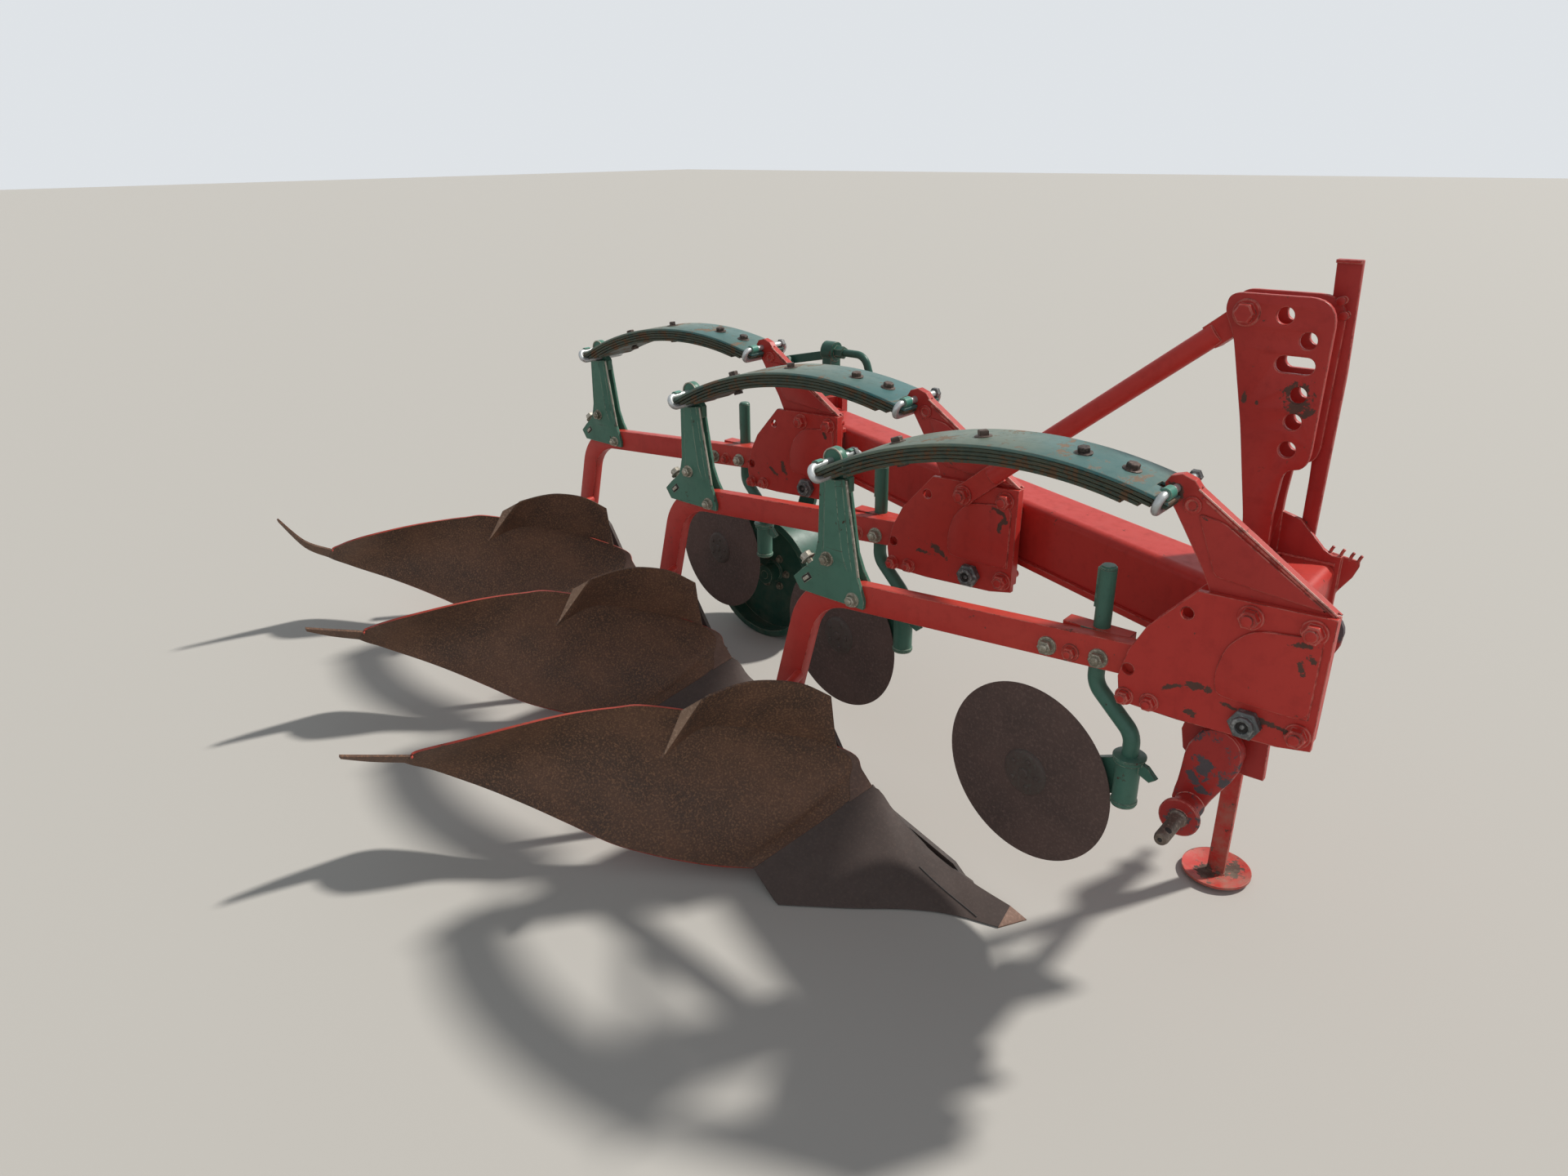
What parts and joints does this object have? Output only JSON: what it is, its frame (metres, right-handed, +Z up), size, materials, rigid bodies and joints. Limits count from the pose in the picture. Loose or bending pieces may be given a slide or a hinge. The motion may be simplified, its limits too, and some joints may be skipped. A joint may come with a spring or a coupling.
{
  "type": "mounted three-furrow mouldboard plough",
  "caption": "Mounted mouldboard plough: skew box beam, headstock, leaf-spring reset legs, disc coulters, curved mouldboards with trashboards, depth wheel and parking stand.",
  "frame": {"origin": "ground level under the centre of the bounding box, with the plough parked level on its shares, stand and depth wheel", "axes": "+X is the direction of travel, towards the tractor; +Y is to the left, the unploughed land side; +Z is up"},
  "size_m": [3.363, 1.837, 1.448],
  "materials": {
    "red_paint": "semi_gloss",
    "green_paint": "satin",
    "dark_green_paint": "satin",
    "teal_paint": "satin",
    "worn_steel": "rusted",
    "bare_steel": "satin"
  },
  "bodies": {
    "root": {"main_beam": "red_paint", "cross_beam": "red_paint", "carrier_front": "red_paint", "carrier_mid": "red_paint", "carrier_rear": "red_paint", "spring_bracket_front": "red_paint", "spring_bracket_mid": "red_paint", "spring_bracket_rear": "red_paint", "leg_front": "red_paint", "leg_mid": "red_paint", "leg_rear": "red_paint", "leg_bracket_front": "green_paint", "leg_bracket_mid": "green_paint", "leg_bracket_rear": "green_paint", "leaf_spring_front": "teal_paint", "leaf_spring_mid": "teal_paint", "leaf_spring_rear": "teal_paint", "shackles": "bare_steel", "coulter_stem_front": "green_paint", "coulter_stem_mid": "green_paint", "coulter_stem_rear": "green_paint", "mouldboard_front": "worn_steel", "mouldboard_mid": "worn_steel", "mouldboard_rear": "worn_steel", "trashboards": "worn_steel", "share_front": "worn_steel", "share_mid": "worn_steel", "share_rear": "worn_steel", "frogs": "worn_steel", "headstock": "red_paint", "hose_post": "red_paint", "brace": "red_paint", "shaft_brackets": "red_paint", "stand_sleeve": "red_paint", "wheel_bracket": "red_paint", "wheel_screw": "dark_green_paint"},
    "cross_shaft": {"cross_shaft": "red_paint"},
    "stand": {"stand": "red_paint"},
    "wheel_arm": {"wheel_arm": "dark_green_paint"},
    "depth_wheel": {"depth_wheel": "dark_green_paint"},
    "coulter_arm_front": {"coulter_arm_front": "green_paint"},
    "coulter_disc_front": {"coulter_disc_front": "worn_steel"},
    "coulter_arm_mid": {"coulter_arm_mid": "green_paint"},
    "coulter_disc_mid": {"coulter_disc_mid": "worn_steel"},
    "coulter_arm_rear": {"coulter_arm_rear": "green_paint"},
    "coulter_disc_rear": {"coulter_disc_rear": "worn_steel"}
  },
  "joints": [
    {"name": "coulter_swivel_front", "type": "hinge", "parent": "root", "child": "coulter_arm_front", "pos_m": [1.35653, -0.0245, 0.45], "axis": [0, 0, 1], "range_deg": [-10, 10]},
    {"name": "coulter_swivel_mid", "type": "hinge", "parent": "root", "child": "coulter_arm_mid", "pos_m": [0.60653, 0.2755, 0.45], "axis": [0, 0, 1], "range_deg": [-10, 10]},
    {"name": "coulter_swivel_rear", "type": "hinge", "parent": "root", "child": "coulter_arm_rear", "pos_m": [-0.14347, 0.5755, 0.45], "axis": [0, 0, 1], "range_deg": [-10, 10]},
    {"name": "disc_spin_front", "type": "hinge", "parent": "coulter_arm_front", "child": "coulter_disc_front", "pos_m": [1.12085, 0.00862, 0.362], "axis": [0.1392, 0.9903, 0], "continuous": true},
    {"name": "disc_spin_mid", "type": "hinge", "parent": "coulter_arm_mid", "child": "coulter_disc_mid", "pos_m": [0.37085, 0.30862, 0.362], "axis": [0.1392, 0.9903, 0], "continuous": true},
    {"name": "disc_spin_rear", "type": "hinge", "parent": "coulter_arm_rear", "child": "coulter_disc_rear", "pos_m": [-0.37915, 0.60862, 0.362], "axis": [0.1392, 0.9903, 0], "continuous": true},
    {"name": "cross_shaft_turn", "type": "hinge", "parent": "root", "child": "cross_shaft", "pos_m": [1.52553, 0.3035, 0.6], "axis": [0, 1, 0], "range_deg": [-15, 12]},
    {"name": "stand_slide", "type": "slide", "parent": "root", "child": "stand", "axis": [0, 0, 1], "range_m": [0, 0.3]},
    {"name": "wheel_arm_swing", "type": "hinge", "parent": "root", "child": "wheel_arm", "pos_m": [-0.12947, 0.8135, 0.79], "axis": [0, 1, 0], "range_deg": [0, 20]},
    {"name": "depth_wheel_spin", "type": "hinge", "parent": "wheel_arm", "child": "depth_wheel", "pos_m": [-0.30947, 0.8135, 0.23], "axis": [0, 1, 0], "continuous": true}
  ]
}
